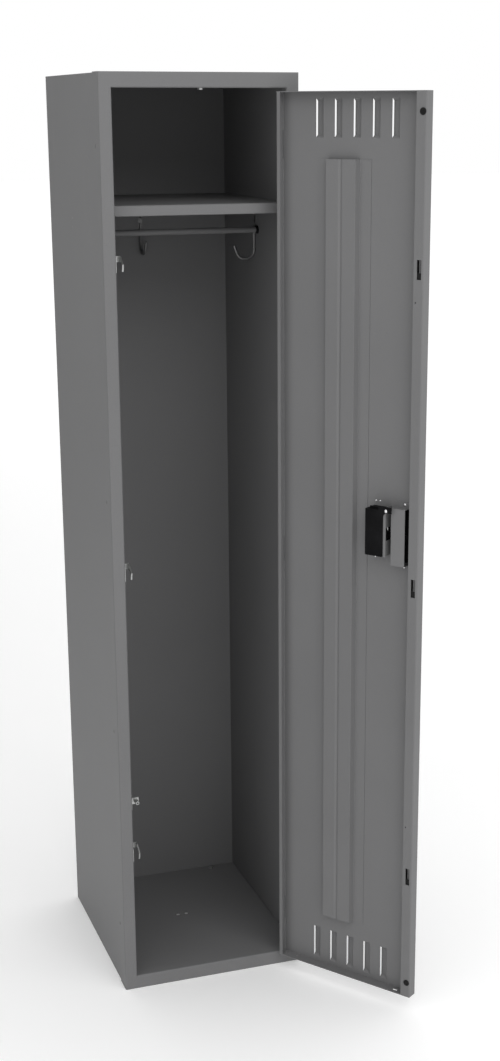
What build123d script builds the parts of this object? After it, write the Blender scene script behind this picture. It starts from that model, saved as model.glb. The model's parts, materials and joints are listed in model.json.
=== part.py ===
from build123d import *
import os
from math import radians

# ---------------------------------------------------------------------------
# Single-tier school locker, door on the right, standing open.
# Millimetres.  +X to the right of someone facing the door, +Y to the back, +Z up.
# The origin is the centre of the footprint, on the floor.
# Everything is modelled with y measured back from the front of the door frame,
# and the door closed; the last section opens the door and moves the origin.
# ---------------------------------------------------------------------------

# Cabinet
WIDTH = 382.6            # across the door frame
DEPTH = 457.2            # 18 in
HEIGHT = 1828.8          # 72 in
FRAME_T = 1.5            # frame sheet
BODY_T = 0.9             # panel sheet
FRAME_BEND = 3.0         # outside bend radius of the frame
FRAME_RETURN = 42.0      # how far the frame wraps round the sides
JAMB_DEPTH = 24.0
STILE_FACE = 24.7
TOP_RAIL_FACE = 28.0
BOTTOM_RAIL_FACE = 28.4
EAR_TOP = 7.0            # how far the rails run down and up over the stiles
EAR_BOTTOM = 8.7
FLOOR_Z = 27.0
SHELF_Z = 1590.6
SHELF_LIP = 19.5
SHELF_SETBACK = 42.0
REAR_FLANGE = 20.0
HOLE_CLEARANCE = 0.05    # round the fasteners' shanks

# Coat rod and hooks
ROD_R = 6.0
ROD_Z = 1527.3
ROD_Y = 238.0
COLLAR_R = 8.0
COLLAR_L = 5.0
HOOK_Y = 252.5           # the side walls' hooks stand just behind the rod
HOOK_WIRE_R = 2.9
HOOK_REACH = 45.5
HOOK_BOTTOM_Z = 1469.0
HOOK_TIP_Z = 1494.0
HOOK_PLATE_Z0, HOOK_PLATE_Z1 = 1519.0, 1569.0
HOOK_PLATE_W = 8.6

# Door, in its own coordinates: u from the hinge edge towards the latch edge,
# v from the outer face inwards
DOOR_T = 1.5
DOOR_W = 322.6
DOOR_D = 22.9
DOOR_Z0 = 32.4
DOOR_Z1 = 1794.6
DOOR_BEND = 2.5
DOOR_EDGE_X = 162.0      # hinge edge when closed
HINGE_LIP = 8.7
LATCH_LIP = 20.9
OPEN_ANGLE = 125.2       # as it stands

# Hinges
HINGE_X = 161.5
HINGE_Y = -3.3
HINGE_ZS = {"top": 1699.0, "middle": 920.0, "bottom": 134.0}
HINGE_H = 50.8
PIN_R = 1.75
PIN_CLEARANCE = 0.05
LEAF_T = 1.5
KNUCKLES = 5

# Latch
HOOK_ZS = {"upper": 1485.5, "middle": 891.5, "lower": 297.0}
LATCH_HOOK_X = -150.8
LATCH_HOOK_T = 3.0
LIP_SLOT_H = 35.4
LIP_SLOT_W = 9.3
BUMPER_U = 315.4
BUMPER_ZS = (1759.3, 64.3)
BAR_U0 = 303.0
BAR_U1 = 320.0
BAR_T = 1.2
BAR_V = 19.6             # inner side of the bar's web
BAR_Z0 = 72.0
BAR_Z1 = 1752.0
PIVOT_U = 272.0
PIVOT_Z = 986.0
LEVER_V = 10.0
LEVER_T = 2.0

# Recessed handle
CUP_U0, CUP_U1 = 210.5, 249.0
CUP_Z0, CUP_Z1 = 946.0, 1037.0
CUP_DEPTH = 32.0
CUP_WALL = 2.0
BEZEL = 3.0
EYE_U = CUP_U1 + BEZEL + 0.2

# Louvres
LOUVRES = 5
LOUVRE_U0 = 74.5
LOUVRE_PITCH = 41.0
LOUVRE_ZS = (1747.6, 78.1)
LOUVRE_W, LOUVRE_RISE, LOUVRE_HALF = 17.0, 6.5, 35.5
LOUVRE_END = 5.0         # how far the hood runs in at each end, from its foot to its crown
LOUVRE_T = 1.1

SIDE_X = WIDTH / 2 - FRAME_T          # outer face of the side panels
INNER_X = SIDE_X - BODY_T             # inner face of the side panels
OPENING_X = WIDTH / 2 - STILE_FACE
BACK_Y = DEPTH - 2 * BODY_T           # inner face of the back panel
TOP_Z = HEIGHT - FRAME_T              # outer face of the top panel


# ------------------------------- helpers -----------------------------------

def box(x0, x1, y0, y1, z0, z1):
    """A box given by its two corners."""
    size = Box(x1 - x0, y1 - y0, z1 - z0)
    return Pos((x0 + x1) / 2, (y0 + y1) / 2, (z0 + z1) / 2) * size


def door_box(u0, u1, v0, v1, z0, z1):
    """A box in the closed door's own coordinates."""
    return box(DOOR_EDGE_X - u1, DOOR_EDGE_X - u0, v0, v1, z0, z1)


def strip(points, thickness, bend):
    """The section of a folded sheet: its outside line, thickened to the left of its run."""
    line = Wire(FilletPolyline(*points, radius=bend).edges())
    faces = [Face(line.offset_2d(thickness, side=s, closed=True)) for s in Side if s != Side.BOTH]
    start, end = Vector(*points[0]), Vector(*points[1])
    run = (end - start).normalized()
    inside = (start + end) / 2 + Vector(-run.Y, run.X) * thickness / 2
    return next(face for face in faces if face.is_inside(inside))


def along_x(face, x0, x1):
    """Extrude a section drawn in (y, z) from x0 to x1."""
    return Pos(x0, 0, 0) * extrude(Plane.YZ * face, amount=x1 - x0, dir=(1, 0, 0))


def along_z(face, z0, z1):
    """Extrude a section drawn in (x, y) from z0 to z1."""
    return Pos(0, 0, z0) * extrude(face, amount=z1 - z0, dir=(0, 0, 1))


def rod(radius, start, direction, length):
    """A round bar from start along direction."""
    return Plane(origin=start, z_dir=direction) * Cylinder(
        radius, length, align=(Align.CENTER, Align.CENTER, Align.MIN)
    )


def dome(radius, rise, start, direction):
    """A shallow domed head, flat side at start."""
    ball = (radius**2 + rise**2) / (2 * rise)
    head = Pos(0, 0, rise - ball) * Sphere(ball)
    head &= Pos(0, 0, rise / 2) * Box(4 * radius, 4 * radius, rise)
    return Plane(origin=start, z_dir=direction) * head


def rivet(radius, start, direction, grip, head_r, head_rise):
    """A rivet with its head at start and its shank running the other way for grip."""
    back = tuple(-c for c in direction)
    return dome(head_r, head_rise, start, direction) + rod(radius, start, back, grip)


def bolt(start, length):
    """A hexagon-headed bolt, its head standing up from start and its shank below."""
    head = Pos(*start) * extrude(RegularPolygon(5.6, 6), amount=3.6)
    return head + rod(3.0, start, (0, 0, -1), length)


def drill(sheet, places, radius):
    """Cut a round hole through a sheet at every (point, direction)."""
    for point, direction in places:
        start = tuple(p - 4 * d for p, d in zip(point, direction))
        sheet = sheet - rod(radius + HOLE_CLEARANCE, start, direction, 8)
    return sheet


def mirrored(shape):
    """The same shape on the other side of the cabinet."""
    return mirror(shape, about=Plane.YZ)


def group(shapes):
    """Identical separate pieces, kept as separate solids of one node."""
    return Compound(children=[s for shape in shapes for s in shape.solids()])


def rounded_front(x0, x1, y1, z0, z1, radius):
    """A block whose four front edges are rounded, to trim folded corners with."""
    block = box(x0, x1, 0, y1, z0, z1)
    return fillet(block.faces().sort_by(Axis.Y)[0].edges(), radius)


# ----------------------------- door frame ----------------------------------

def frame_rivet_places():
    """Rivets through the frame's side returns and the side panels."""
    zs = (137.0, 561.0, 1033.0, 1698.6)
    return [((side * WIDTH / 2, 34, z), (side, 0, 0)) for side in (-1, 1) for z in zs]


def frame_rivets():
    return [rivet(2.4, p, d, FRAME_T + BODY_T, 4.6, 1.3) for p, d in frame_rivet_places()]


def stile_section():
    """Round the side, across the front and back down the jamb, with a lip turned out."""
    half, face = WIDTH / 2, OPENING_X
    points = [(-half, FRAME_RETURN), (-half, 0), (-face, 0), (-face, JAMB_DEPTH)]
    points.append((-face - 10, JAMB_DEPTH))
    return strip(points, FRAME_T, FRAME_BEND)


def frame_stile_left():
    stile = along_z(stile_section(), BOTTOM_RAIL_FACE + EAR_BOTTOM,
                    HEIGHT - TOP_RAIL_FACE - EAR_TOP)
    return drill(stile, frame_rivet_places(), 2.4)


def rail_wrap(z0, z1, rounded):
    """A shallow tray open to the back: the rail's face and the returns round both sides.

    rounded counts the front edges that are bent, from the top one down.
    """
    x, t = WIDTH / 2, FRAME_T
    outer = box(-x, x, 0, FRAME_RETURN, z0, z1)
    edges = outer.faces().sort_by(Axis.Y)[0].edges().sort_by(Axis.Z)
    outer = fillet(edges[1:1 + rounded], FRAME_BEND)
    inner = box(-x + t, x - t, t, FRAME_RETURN, z0, z1 - t if rounded > 2 else z1)
    edges = inner.faces().sort_by(Axis.Y)[0].edges().sort_by(Axis.Z)
    return outer - fillet(edges[1:1 + rounded], FRAME_BEND - t)


def rail_inner_return(z, up):
    """The rail's return into the opening at height z, its lip, and the jambs' ends."""
    t, x, ear = FRAME_T * up, OPENING_X, (EAR_TOP if up > 0 else EAR_BOTTOM) * up
    part = box(-INNER_X, INNER_X, 0, JAMB_DEPTH, min(z, z + t), max(z, z + t))
    lip = sorted((z, z + 8 * up))
    part += box(-INNER_X, INNER_X, JAMB_DEPTH - FRAME_T, JAMB_DEPTH, *lip)
    span = sorted((z - ear, z))
    jamb = box(-x - FRAME_T, -x, 0, JAMB_DEPTH, *span)
    jamb += box(-x - 10, -x, JAMB_DEPTH - FRAME_T, JAMB_DEPTH, *span)
    return part + jamb + mirrored(jamb)


def round_opening(rail, z, ear_z):
    """Round the front edges of the rail where it turns into the opening."""
    low, high = sorted((z, ear_z))
    edges = []
    for edge in rail.edges():
        c = edge.center()
        if abs(c.Y) < 0.01 and abs(c.X) < OPENING_X + 0.1 and low - 0.1 < c.Z < high + 0.1:
            edges.append(edge)
    return fillet(edges, FRAME_BEND)


def frame_rail_top():
    z = HEIGHT - TOP_RAIL_FACE
    rail = rail_wrap(z - EAR_TOP, HEIGHT, 3)
    rail -= box(-OPENING_X, OPENING_X, -1, 5, z - EAR_TOP - 1, z)
    rail = round_opening(rail + rail_inner_return(z, 1), z, z - EAR_TOP)
    return drill(rail, [((4, 14, z), (0, 0, 1))], 3.0)


def frame_rail_bottom():
    z = BOTTOM_RAIL_FACE
    rail = rail_wrap(0, z + EAR_BOTTOM, 2)
    rail -= box(-OPENING_X, OPENING_X, -1, 5, z, z + EAR_BOTTOM + 1)
    rail = round_opening(rail + rail_inner_return(z, -1), z, z + EAR_BOTTOM)
    return rail + box(-INNER_X, INNER_X, 0, JAMB_DEPTH - 4, 0, FRAME_T)


# ------------------------------- panels ------------------------------------

def back_rivet_places():
    """Rivets through the side panels' rear flanges and the back panel."""
    x = SIDE_X - REAR_FLANGE / 2
    zs = [60 + i * (HEIGHT - 130) / 4 for i in range(5)]
    return [((side * x, DEPTH, z), (0, 1, 0)) for side in (-1, 1) for z in zs]


def back_rivets():
    return [rivet(2.4, p, d, 2 * BODY_T, 4.6, 1.3) for p, d in back_rivet_places()]


def shelf_rivet_places():
    """Rivets through the side panels and the hat shelf's side flanges."""
    x = INNER_X - BODY_T
    return [((side * x, y, SHELF_Z - 7), (-side, 0, 0)) for side in (-1, 1) for y in (120, 380)]


def shelf_rivets():
    return [rivet(2.4, p, d, 2 * BODY_T, 4.6, 1.3) for p, d in shelf_rivet_places()]


def side_panel_left():
    points = [(-SIDE_X + REAR_FLANGE, DEPTH), (-SIDE_X, DEPTH), (-SIDE_X, FRAME_BEND + 0.1)]
    panel = along_z(strip(points, BODY_T, 1.7), 0, TOP_Z)
    for places in (frame_rivet_places(), back_rivet_places(), shelf_rivet_places()):
        panel = drill(panel, places, 2.4)
    hook_places = [wall_place(-1, p) for p in hook_rivet_places()]
    return drill(panel, hook_places, 2.0)


def back_panel():
    x = INNER_X - BODY_T
    panel = box(-x, x, BACK_Y, BACK_Y + BODY_T, 0, TOP_Z - BODY_T)
    panel = drill(panel, back_rivet_places(), 2.4)
    return drill(panel, [((0, BACK_Y, z), (0, 1, 0)) for x, z in hook_rivet_places()], 2.0)


def top_panel():
    """A sheet whose sides and back are turned down inside the cabinet."""
    x = INNER_X
    cover = box(-x, x, FRAME_BEND + 0.1, BACK_Y, TOP_Z - BODY_T, TOP_Z)
    cover += box(-x + 1, x - 1, BACK_Y, BACK_Y + BODY_T, TOP_Z - BODY_T, TOP_Z)
    outer = box(-x, x, JAMB_DEPTH + 2, BACK_Y, TOP_Z - 15, TOP_Z - BODY_T)
    inner = box(-x + BODY_T, x - BODY_T, 0, BACK_Y - BODY_T, TOP_Z - 15, TOP_Z)
    return cover + (outer - inner)


def bottom_panel():
    """The floor: a pan turned over, with a foot flange round its rim and two bolt holes."""
    front, back = JAMB_DEPTH + 0.2, BACK_Y
    pan = box(-INNER_X, INNER_X, front, back, 0, FLOOR_Z)
    pan = fillet(pan.edges().filter_by(Axis.Y).sort_by(Axis.Z)[-2:], 1.8)
    hollow = box(-INNER_X + BODY_T, INNER_X - BODY_T, front + BODY_T, back - BODY_T,
                 BODY_T, FLOOR_Z - BODY_T)
    foot = 12.0
    mouth = box(-INNER_X + foot, INNER_X - foot, front + foot, back - foot, 0, BODY_T)
    pan -= hollow + mouth
    for x in (-9.5, 9.5):
        pan -= rod(4.0, (x, DEPTH / 2 + 10.4, 0), (0, 0, 1), HEIGHT / 20)
    tab = box(INNER_X - 26, INNER_X - 1, back - BODY_T, back, FLOOR_Z - BODY_T, FLOOR_Z + 3)
    pan = pan + tab + mirrored(tab)
    return drill(pan, [((x, BACK_Y - 14, FLOOR_Z), (0, 0, 1)) for x in (-130, 130)], 3.0)


def hat_shelf():
    """A tray turned over, with a deep folded front lip."""
    x = INNER_X
    top = box(-x, x, SHELF_SETBACK + 1, BACK_Y, SHELF_Z - BODY_T, SHELF_Z)
    skirt = box(-x, x, SHELF_SETBACK + 22, BACK_Y, SHELF_Z - 13, SHELF_Z)
    skirt -= box(-x + BODY_T, x - BODY_T, 0, BACK_Y - BODY_T, SHELF_Z - 13, SHELF_Z)
    low = SHELF_Z - SHELF_LIP
    front = SHELF_SETBACK
    points = [(front + 20, SHELF_Z), (front, SHELF_Z), (front, low), (front + 11, low)]
    lip = along_x(strip(points, BODY_T, 2.0), -x, x)
    return drill(top + skirt + lip, shelf_rivet_places(), 2.4)


def floor_bolts():
    """Hexagon-headed bolts at the back of the floor."""
    return [bolt((x, BACK_Y - 14, FLOOR_Z), 12) for x in (-130, 130)]


def floor_nuts():
    """The nuts under the floor, on the same bolts."""
    pieces = []
    for x in (-130, 130):
        place = Pos(x, BACK_Y - 14, FLOOR_Z - BODY_T - 4.5)
        nut = place * extrude(RegularPolygon(5.6, 6), amount=4.5)
        bore = rod(3.0 + HOLE_CLEARANCE, (x, BACK_Y - 14, 0), (0, 0, 1), FLOOR_Z)
        pieces.append(nut - bore)
    return pieces


def top_rail_bolt():
    """The bolt under the middle of the top rail, put in from below."""
    return Pos(4, 14, HEIGHT - TOP_RAIL_FACE) * Rot(180, 0, 0) * bolt((0, 0, 0), 9)


# --------------------------- coat rod and hooks ----------------------------

def hook_rivet_places():
    """(distance from the wall, height) of the two rivets in a hook's plate."""
    return ((2.0, 1541.0), (2.0, 1558.0))


def wall_place(side, place):
    """Where a hook rivet goes through a side panel."""
    return (side * INNER_X, HOOK_Y, place[1]), (side, 0, 0)


def coat_hook():
    """A single-prong hook; the wall is the plane x = 0 and it points along +X."""
    lead = HOOK_WIRE_R
    points = [(lead, HOOK_PLATE_Z0 + 12), (lead, HOOK_BOTTOM_Z), (36.0, HOOK_BOTTOM_Z)]
    points.append((HOOK_REACH, HOOK_TIP_Z))
    path = Plane.XZ * Wire(FilletPolyline(*points, radius=17).edges())
    section = Plane(origin=path @ 0, z_dir=path % 0) * Circle(HOOK_WIRE_R)
    prong = sweep(section, path=path)
    prong += Pos(path @ 1) * Sphere(HOOK_WIRE_R)
    plate = box(0, 2.0, -HOOK_PLATE_W / 2, HOOK_PLATE_W / 2, HOOK_PLATE_Z0, HOOK_PLATE_Z1)
    plate = fillet(plate.edges().filter_by(Axis.X), 4)
    places = [((0, 0, z), (1, 0, 0)) for x, z in hook_rivet_places()]
    return drill(prong + plate, places, 2.0)


def hook_rivet_pair():
    grip = 2.0 + BODY_T
    return [rivet(2.0, (x, 0, z), (1, 0, 0), grip, 3.6, 1.4) for x, z in hook_rivet_places()]


def on_right_wall(shape):
    return Pos(INNER_X, HOOK_Y, 0) * Rot(0, 0, 180) * shape


def on_left_wall(shape):
    return Pos(-INNER_X, HOOK_Y, 0) * shape


def on_back_wall(shape):
    return Pos(0, BACK_Y, 0) * Rot(0, 0, -90) * shape


def coat_hook_rivets():
    walls = (on_left_wall, on_right_wall, on_back_wall)
    return [wall(r) for wall in walls for r in hook_rivet_pair()]


def coat_rod():
    return rod(ROD_R, (-INNER_X, ROD_Y, ROD_Z), (1, 0, 0), 2 * INNER_X)


def rod_end_collars():
    """Collars that hold the ends of the coat rod on the side panels."""
    pieces = []
    for start in (-INNER_X, INNER_X - COLLAR_L):
        collar = rod(COLLAR_R, (start, ROD_Y, ROD_Z), (1, 0, 0), COLLAR_L)
        bore = rod(ROD_R + HOLE_CLEARANCE, (start - 1, ROD_Y, ROD_Z), (1, 0, 0), COLLAR_L + 2)
        pieces.append(collar - bore)
    return pieces


# ------------------------------- hinges ------------------------------------

def knuckles(z, parity):
    """The rolled knuckles of one leaf: every second one of five."""
    pitch = HINGE_H / KNUCKLES
    rolls = Part()
    for i in range(parity, KNUCKLES, 2):
        start = z - HINGE_H / 2 + i * pitch + 0.1
        roll = rod(PIN_R + LEAF_T, (HINGE_X, HINGE_Y, start), (0, 0, 1), pitch - 0.2)
        rolls += roll
    return rolls


def knuckle_clearance(z, parity):
    """Room in a leaf's plate for the other leaf's knuckles to turn."""
    pitch = HINGE_H / KNUCKLES
    room = Part()
    for i in range(1 - parity, KNUCKLES, 2):
        start = z - HINGE_H / 2 + i * pitch - 0.1
        room += rod(PIN_R + LEAF_T + 0.6, (HINGE_X, HINGE_Y, start), (0, 0, 1), pitch + 0.2)
    return room


def leaf(plate, z, parity, bore_r):
    """A hinge leaf: its plate, cut clear of the other leaf, and its bored knuckles."""
    plate = plate - knuckle_clearance(z, parity)
    bore = rod(bore_r, (HINGE_X, HINGE_Y, z - HINGE_H), (0, 0, 1), 2 * HINGE_H)
    return plate + knuckles(z, parity) - bore


def hinge_frame_leaf(z):
    """The leaf on the jamb: outer, middle and lower knuckles."""
    x = OPENING_X
    section = make_face(Polyline(
        (x, 20), (x - LEAF_T, 20), (x - LEAF_T, 0.2), (HINGE_X + 1.7, -2.3),
        (HINGE_X + 3.0, -3.3), (x, -0.5), (x, 20),
    ))
    return leaf(along_z(section, z - HINGE_H / 2, z + HINGE_H / 2), z, 0, PIN_R)


def hinge_door_leaf(z):
    """The leaf on the door's hinge-side flange: the two knuckles between."""
    x = DOOR_EDGE_X
    plate = box(x, x + LEAF_T, -1.2, 19, z - HINGE_H / 2, z + HINGE_H / 2)
    return leaf(plate, z, 1, PIN_R + PIN_CLEARANCE)


def hinge_pin(z):
    pin = rod(PIN_R, (HINGE_X, HINGE_Y, z - HINGE_H / 2), (0, 0, 1), HINGE_H)
    head = rod(PIN_R + 0.9, (HINGE_X, HINGE_Y, z + HINGE_H / 2), (0, 0, 1), 1.2)
    return pin + head


# ------------------------- latch hooks on the jamb -------------------------

def latch_hook(z):
    """A plate hook with a downward nose, cranked out from the jamb."""
    profile = Polyline(
        (13, z + 0.5), (31, z + 12.5), (43, z + 14), (43, z + 3),
        (18.8, z + 3), (18.8, z - 13), (16.5, z - 13), (13, z + 0.5),
    )
    x0 = LATCH_HOOK_X - LATCH_HOOK_T / 2
    nose = along_x(make_face(profile), x0, x0 + LATCH_HOOK_T)
    crank = box(-OPENING_X, x0 + LATCH_HOOK_T, 40, 43, z + 3, z + 14)
    foot = box(-OPENING_X, -OPENING_X + 2.5, 9, 43, z - 14, z + 14)
    return nose + crank + foot


def door_rest_stud():
    """The stud that the closed door's latch lip comes to rest on."""
    z, x = 404.0, -149.5
    crank = box(-OPENING_X, x + 6, 38, 40, z - 7, z + 7)
    foot = box(-OPENING_X, -OPENING_X + 2, 9, 40, z - 7, z + 7)
    stud = rod(4.2, (x, 23.2, z), (0, 1, 0), 15)
    stud = fillet(stud.edges().sort_by(Axis.Y)[0], 0.8)
    dimple = rod(2.0, (x, 23.1, z), (0, 1, 0), 5)
    return crank + foot + stud - dimple


# -------------------------------- door -------------------------------------

def louvre_form(u, z, inset):
    """The pressing of a louvre: a curved hood, straight along its lip, with sloping ends."""
    depth = (LOUVRE_W**2 - LOUVRE_RISE**2) / (2 * LOUVRE_RISE)
    barrel = Cylinder(depth + LOUVRE_RISE - inset, 3 * LOUVRE_HALF)
    slope = LOUVRE_END / LOUVRE_RISE
    half = LOUVRE_HALF - inset * (1 + slope**2) ** 0.5
    outer, inner = -LOUVRE_RISE - 1, DOOR_T + 1
    ends = Polyline([
        (outer, z - half - slope * outer), (inner, z - half - slope * inner),
        (inner, z + half + slope * inner), (outer, z + half + slope * outer)], close=True)
    x = DOOR_EDGE_X - u
    form = Pos(x, depth, z) * barrel & along_x(make_face(ends), x - 20, x + 1)
    return form & door_box(u, u + 20, -10, inner, z - 40, z + 40)


def door_rivet_places():
    """(u, z, radius) of the rivets through the door round the handle."""
    small = [(215.4, 1046.0, 1.2), (224.4, 1046.0, 1.2), (214.7, 936.6, 1.2)]
    cover = [(279.8, 925.0, 1.6), (279.8, 1046.0, 1.6)]
    eye = [(EYE_U + 9.0, 987.0, 1.6), (EYE_U + 9.0, 999.0, 1.6)]
    return small + cover + eye


def door_panel():
    """The door: a tray folded from one sheet, louvred, with lips at both sides."""
    points = [(DOOR_W - LATCH_LIP, DOOR_D), (DOOR_W, DOOR_D), (DOOR_W, 0), (0, 0)]
    points += [(0, DOOR_D), (HINGE_LIP, DOOR_D)]
    section = [(DOOR_EDGE_X - u, v) for u, v in points]
    door = along_z(strip(section, DOOR_T, DOOR_BEND), DOOR_Z0, DOOR_Z1)
    door += door_box(0, DOOR_W, 0, DOOR_D, DOOR_Z1 - DOOR_T, DOOR_Z1)
    door += door_box(0, DOOR_W, 0, DOOR_D, DOOR_Z0, DOOR_Z0 + DOOR_T)
    x0, x1 = DOOR_EDGE_X - DOOR_W, DOOR_EDGE_X
    door &= rounded_front(x0, x1, DOOR_D, DOOR_Z0, DOOR_Z1, DOOR_BEND)
    # lip slots for the latch hooks, and a small hole beside the end ones
    slot_u = DOOR_EDGE_X - LATCH_HOOK_X
    for z in HOOK_ZS.values():
        door -= door_box(slot_u - LIP_SLOT_W / 2, slot_u + LIP_SLOT_W / 2, DOOR_D - 3,
                         DOOR_D + 1, z - LIP_SLOT_H / 2, z + LIP_SLOT_H / 2)
    for z in (1426.6, 402.5):
        door -= rod(1.4, (DOOR_EDGE_X - 306.6, DOOR_D - 3, z), (0, 1, 0), 4)
    # narrow slits beside the hinges, at the fold
    for z in HINGE_ZS.values():
        door -= door_box(-1, DOOR_T + 0.5, 1.7, 4.5, z - 26, z + 26)
    # the handle's opening, and drain slots in the bottom flange
    door -= door_box(CUP_U0, CUP_U1, -5, 5, CUP_Z0, CUP_Z1)
    door -= door_box(277.6, 287.6, 10, 14.6, DOOR_Z0 - 1, DOOR_Z0 + 3)
    for u in (11.5, 38.0):
        door -= rod(2.0, (DOOR_EDGE_X - u, 9.6, DOOR_Z0 - 1), (0, 0, 1), 4)
    door = drill(door, [((DOOR_EDGE_X - BUMPER_U, DOOR_D, z), (0, 1, 0)) for z in BUMPER_ZS], 2.5)
    for u, z, radius in door_rivet_places():
        door = drill(door, [((DOOR_EDGE_X - u, 0, z), (0, 1, 0))], radius)
    for z in LOUVRE_ZS:
        for i in range(LOUVRES):
            u = LOUVRE_U0 + i * LOUVRE_PITCH
            hollow = louvre_form(u, z, LOUVRE_T)
            hood = louvre_form(u, z, 0) & door_box(u, u + 20, -10, 0.4, z - 40, z + 40)
            door = door - hollow + (hood - hollow)
    return door


def door_stiffener():
    """A hat section up the inside of the door, with a shallow groove down its crown."""
    base, crown = DOOR_T, 12.5
    points = [(83, base), (103.5, base), (104.5, crown), (132, crown), (136.5, crown - 1.6),
              (141, crown), (169.5, crown), (173, base), (197, base)]
    t = 1.0
    upper = [(DOOR_EDGE_X - u, v + t) for u, v in points]
    return along_z(strip(upper, t, 0.9), 150, 1675)


def handle_cup():
    """The moulded recess: a bezel outside, a deep box inside, an ear at its top corner."""
    wall = CUP_WALL
    body = door_box(CUP_U0, CUP_U1, 0, CUP_DEPTH, CUP_Z0, CUP_Z1)
    body = fillet(body.edges().filter_by(Axis.Y), 1.5)
    rim = door_box(CUP_U0 - BEZEL, CUP_U1 + BEZEL, -1.5, 0, CUP_Z0 - BEZEL, CUP_Z1 + BEZEL)
    rim = fillet(rim.edges().filter_by(Axis.Y), 4)
    ear = door_box(CUP_U1 - 10, CUP_U1 + 19, CUP_DEPTH - 2, CUP_DEPTH, 1019, 1044)
    corner = door_box(CUP_U1, CUP_U1 + 19, 25, 40, 1019, 1032)
    ear -= corner
    web = 9.0
    gusset = door_box(CUP_U1, CUP_U1 + web, CUP_DEPTH - 2, CUP_DEPTH, 1032 - web, 1032)
    gusset -= rod(web, (DOOR_EDGE_X - CUP_U1 - web, 0, 1032 - web), (0, 1, 0), 50)
    cap = door_box(CUP_U0 + 6, CUP_U1, CUP_DEPTH - 10, CUP_DEPTH - 7, CUP_Z1 - 1, CUP_Z1 + 4)
    cup = body + rim + ear + gusset + cap
    cup -= door_box(CUP_U0 + wall, CUP_U1 - wall, -5, CUP_DEPTH - wall,
                    CUP_Z0 + wall, CUP_Z1 - wall)
    cup -= door_box(CUP_U1 - 3, CUP_U1 + 1, LEVER_V - 1, LEVER_V + LEVER_T + 1, 979.5, 1000.5)
    return cup - rod(2.25, (DOOR_EDGE_X - 255.5, 20, 1036), (0, 1, 0), 20)


def cup_bracket():
    """The folded steel bracket beside the handle cup, with a window for the lever."""
    u0, u1 = CUP_U1 + 0.2, CUP_U1 + 1.4
    face = CUP_DEPTH - 2
    part = door_box(u0, u1, DOOR_T, face, CUP_Z0, 1041)
    part += door_box(u0, CUP_U1 + 5.6, face - 1.2, face, CUP_Z0, 1041)
    part += door_box(u0, CUP_U1 + 12, face - 1.2, face, 1032, 1041)
    part += door_box(u0, CUP_U1 + 11, DOOR_T, DOOR_T + 1.2, CUP_Z0, 1036)
    part -= door_box(u0 - 1, u1 + 1, 3.3, 21.0, 975.0, 1001.0)
    return part - rod(2.25, (DOOR_EDGE_X - 255.5, 20, 1036), (0, 1, 0), 20)


def latch_cover():
    """The raised plate that hides the lever between the handle and the lock bar."""
    u0, u1, z0, z1 = 261.6, 292.3, 930.0, 1041.0
    top = DOOR_D
    shell = door_box(u0, u1, DOOR_T, top, z0, z1)
    shell = fillet(shell.edges().filter_by(Axis.Z).sort_by(Axis.X)[-2:].sort_by(Axis.Y)[-1:], 1.5)
    shell -= door_box(u0 + 1.2, u1 + 1, 0, top - 1.2, z0 + 1.2, z1 - 1.2)
    shell += door_box(u0 + 4, u1 - 2, DOOR_T, DOOR_T + 1.2, z1 - 0.5, z1 + 10)
    shell += door_box(u0 + 4, u1 - 2, DOOR_T, DOOR_T + 1.2, z0 - 10, z0 + 0.5)
    shell -= door_box(u0 - 1, u0 + 3, LEVER_V - 2, LEVER_V + LEVER_T + 2, 974, 1004)
    for u, z, radius in door_rivet_places()[3:5]:
        shell -= rod(radius + HOLE_CLEARANCE, (DOOR_EDGE_X - u, -1, z), (0, 1, 0), 10)
    return shell


def lever_guide():
    """The moulded bearing plate that the lift lever turns on."""
    plate = door_box(264, 300, DOOR_T, 4.5, 934, 1037)
    plate += rod(6.5, (DOOR_EDGE_X - PIVOT_U, 4.5, PIVOT_Z), (0, 1, 0), LEVER_V - 4.7)
    return plate - rod(3.0, (DOOR_EDGE_X - PIVOT_U, 0, PIVOT_Z), (0, 1, 0), 20)


def lever_pin():
    x = DOOR_EDGE_X - PIVOT_U
    shank = rod(3.0, (x, DOOR_T, PIVOT_Z), (0, 1, 0), 12.4 - DOOR_T)
    return shank + rod(5.0, (x, 12.4, PIVOT_Z), (0, 1, 0), 1.6)


def padlock_eye():
    """The fixed eye beside the handle, for a padlock's shackle."""
    u = EYE_U
    eye = door_box(u, u + 2.5, -15, 0, 983, 1003)
    eye = fillet(eye.edges().filter_by(Axis.X).sort_by(Axis.Y)[:2], 5)
    eye += door_box(u, u + 15, -2, 0, 983, 1003)
    eye -= rod(4.75, (DOOR_EDGE_X - u + 1, -8, 993), (-1, 0, 0), 6)
    for u, z, radius in door_rivet_places()[5:]:
        eye -= rod(radius + HOLE_CLEARANCE, (DOOR_EDGE_X - u, -5, z), (0, 1, 0), 10)
    return eye


def padlock_eye_rivets():
    """Rivets through the padlock eye's foot and the door."""
    return [rivet(r, (DOOR_EDGE_X - u, -2, z), (0, -1, 0), 2 + DOOR_T, 3.0, 1.0)
            for u, z, r in door_rivet_places()[5:]]


def handle_rivets():
    """Bright rivets round the handle: in the door, the cover's feet and the cup's ear."""
    pieces = []
    for u, z, r in door_rivet_places()[:3]:
        pieces.append(rivet(r, (DOOR_EDGE_X - u, DOOR_T, z), (0, 1, 0), DOOR_T, 2.0, 0.8))
    for u, z, r in door_rivet_places()[3:5]:
        start = (DOOR_EDGE_X - u, DOOR_T + 1.2, z)
        pieces.append(rivet(r, start, (0, 1, 0), DOOR_T + 1.2, 2.8, 1.0))
    pieces.append(rivet(2.2, (DOOR_EDGE_X - 255.5, CUP_DEPTH, 1036), (0, 1, 0), 3.2, 3.4, 1.4))
    return pieces


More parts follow.
